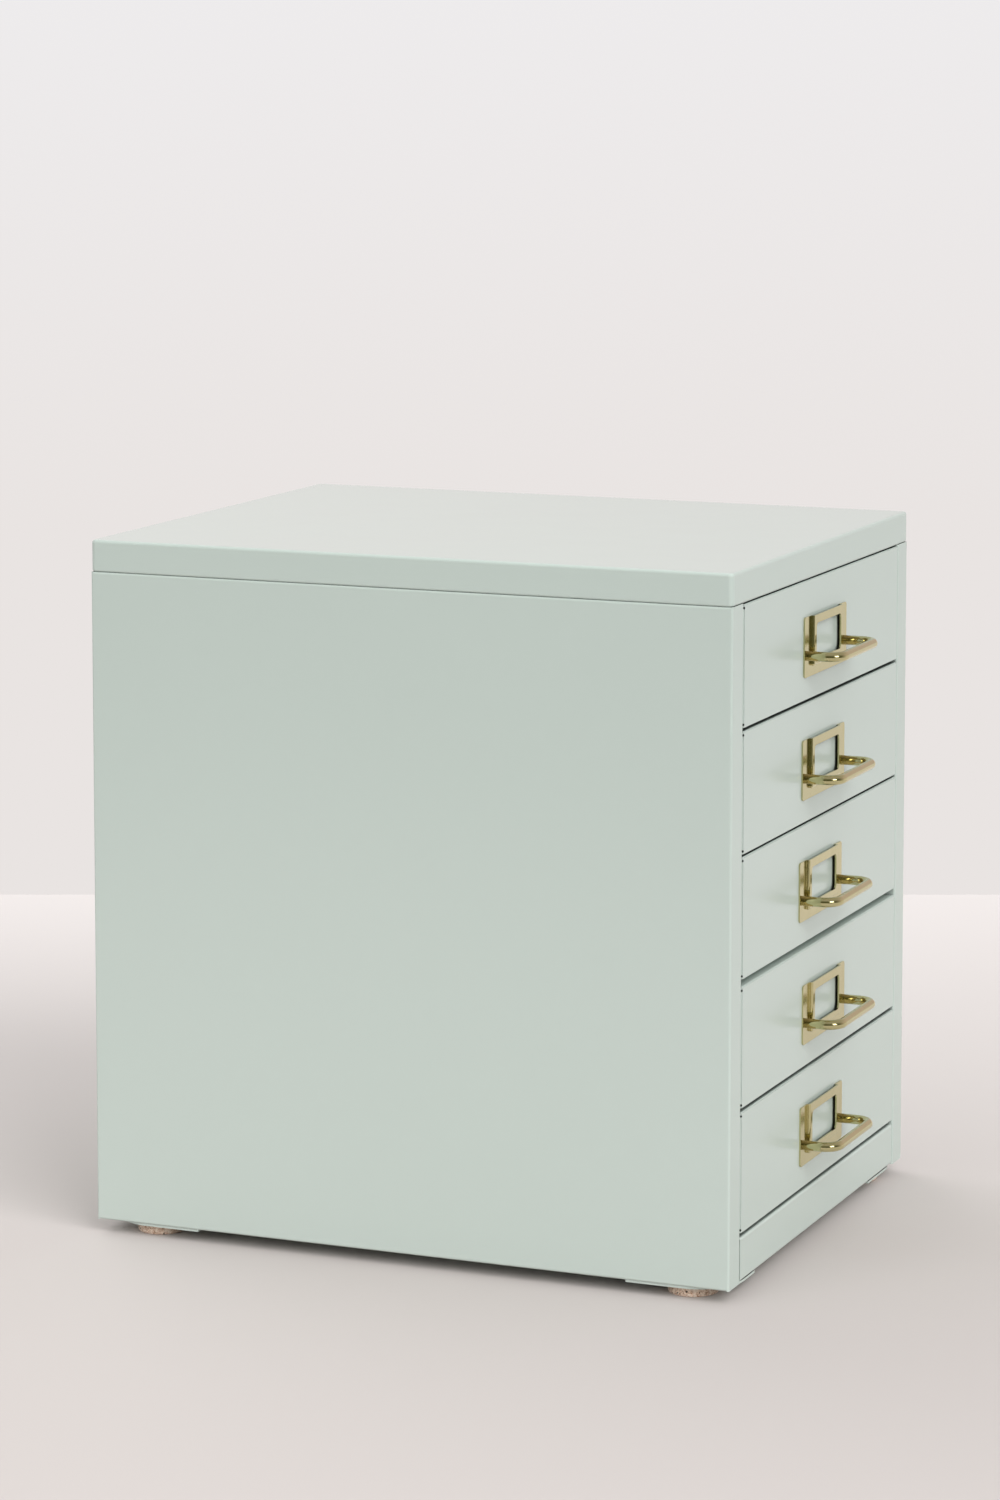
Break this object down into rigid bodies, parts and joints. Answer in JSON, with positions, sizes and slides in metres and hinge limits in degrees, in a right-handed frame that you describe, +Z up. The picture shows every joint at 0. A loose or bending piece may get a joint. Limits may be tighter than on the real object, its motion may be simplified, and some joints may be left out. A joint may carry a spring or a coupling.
{
  "type": "desktop drawer cabinet",
  "caption": "Small desktop cabinet of folded, powder-coated sheet steel with sliding drawers, each with a stamped label holder and a bent rod pull, on felt-padded corner feet.",
  "frame": {"origin": "on the floor under the middle of the cabinet's box, pulls included", "axes": "+Z up, +X to the right of someone facing the drawers, -Y the way the drawers open"},
  "size_m": [0.28, 0.372, 0.3645],
  "materials": {
    "paint": "pale sage powder coat, satin",
    "tray_paint": "pale sage powder coat on the inside of the drawers, satin",
    "brass": "polished brass plating",
    "zinc": "bright zinc plating",
    "felt": "pressed wool felt"
  },
  "bodies": {
    "casing": {"left_side": "paint", "right_side": "paint", "back_panel": "paint", "base_pan": "paint", "lid": "paint", "lid_screws": "zinc", "back_rivets": "zinc", "foot_plate_front_left": "paint", "foot_plate_front_right": "paint", "foot_plate_rear_left": "paint", "foot_plate_rear_right": "paint", "felt_pad_front_left": "felt", "felt_pad_front_right": "felt", "felt_pad_rear_left": "felt", "felt_pad_rear_right": "felt", "runner_left_1": "zinc", "runner_left_2": "zinc", "runner_left_3": "zinc", "runner_left_4": "zinc", "runner_left_5": "zinc", "runner_right_1": "zinc", "runner_right_2": "zinc", "runner_right_3": "zinc", "runner_right_4": "zinc", "runner_right_5": "zinc"},
    "drawer_1": {"drawer_front_1": "paint", "drawer_tray_1": "tray_paint", "label_holder_1": "brass", "pull_1": "brass", "pull_screws_1": "zinc"},
    "drawer_2": {"drawer_front_2": "paint", "drawer_tray_2": "tray_paint", "label_holder_2": "brass", "pull_2": "brass", "pull_screws_2": "zinc"},
    "drawer_3": {"drawer_front_3": "paint", "drawer_tray_3": "tray_paint", "label_holder_3": "brass", "pull_3": "brass", "pull_screws_3": "zinc"},
    "drawer_4": {"drawer_front_4": "paint", "drawer_tray_4": "tray_paint", "label_holder_4": "brass", "pull_4": "brass", "pull_screws_4": "zinc"},
    "drawer_5": {"drawer_front_5": "paint", "drawer_tray_5": "tray_paint", "label_holder_5": "brass", "pull_5": "brass", "pull_screws_5": "zinc"}
  },
  "joints": [
    {"name": "drawer_1_slide", "type": "slide", "parent": "casing", "child": "drawer_1", "axis": [0, -1, 0], "range_m": [0, 0.2849]},
    {"name": "drawer_2_slide", "type": "slide", "parent": "casing", "child": "drawer_2", "axis": [0, -1, 0], "range_m": [0, 0.2849]},
    {"name": "drawer_3_slide", "type": "slide", "parent": "casing", "child": "drawer_3", "axis": [0, -1, 0], "range_m": [0, 0.2849]},
    {"name": "drawer_4_slide", "type": "slide", "parent": "casing", "child": "drawer_4", "axis": [0, -1, 0], "range_m": [0, 0.2849]},
    {"name": "drawer_5_slide", "type": "slide", "parent": "casing", "child": "drawer_5", "axis": [0, -1, 0], "range_m": [0, 0.2849]}
  ]
}
